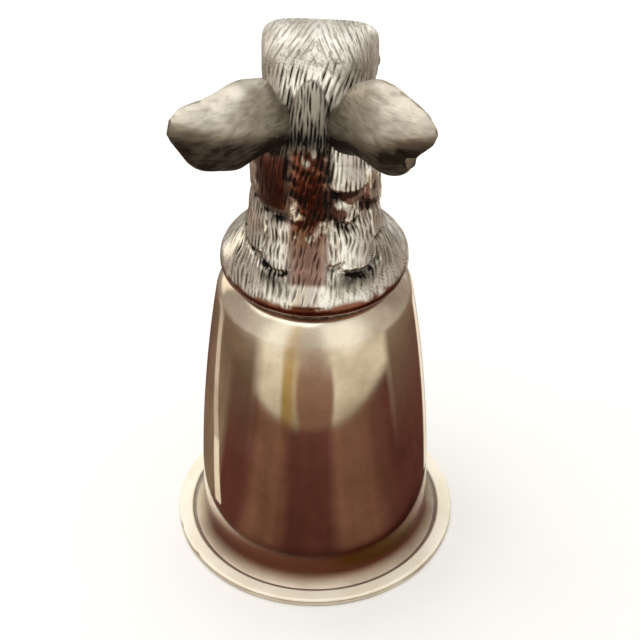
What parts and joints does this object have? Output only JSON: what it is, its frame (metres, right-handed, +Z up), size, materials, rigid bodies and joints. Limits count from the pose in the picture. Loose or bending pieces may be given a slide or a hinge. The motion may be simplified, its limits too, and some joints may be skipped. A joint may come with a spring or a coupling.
{
  "type": "stirrup cup",
  "caption": "Stirrup cup that stands mouth down on its flared lip: a spun bowl with a cast doe's head, fur collar and set-in ears on its closed end.",
  "frame": {"origin": "centre of the lip's flat face, on the table the cup stands on", "axes": "+Z up along the cup's axis from the lip to the head, -Y the way the doe faces, +X to the doe's left"},
  "size_m": [0.072, 0.0835, 0.1395],
  "materials": {
    "spun_silver": "polished silver plate, softly worn and lightly tarnished",
    "lip_silver": "satin silver plate, pale with handling",
    "cast_silver": "cast and chased silver plate with dark patina in the hair lines",
    "ear_silver": "satin cast silver plate with fine hair lines",
    "solder": "dull grey solder"
  },
  "bodies": {
    "root": {"cup_bowl": "spun_silver", "lip_ring": "lip_silver", "lip_solder": "solder", "head_casting": "cast_silver", "collar_solder": "solder", "left_ear": "ear_silver", "right_ear": "ear_silver", "ear_solder": "solder"}
  },
  "joints": []
}
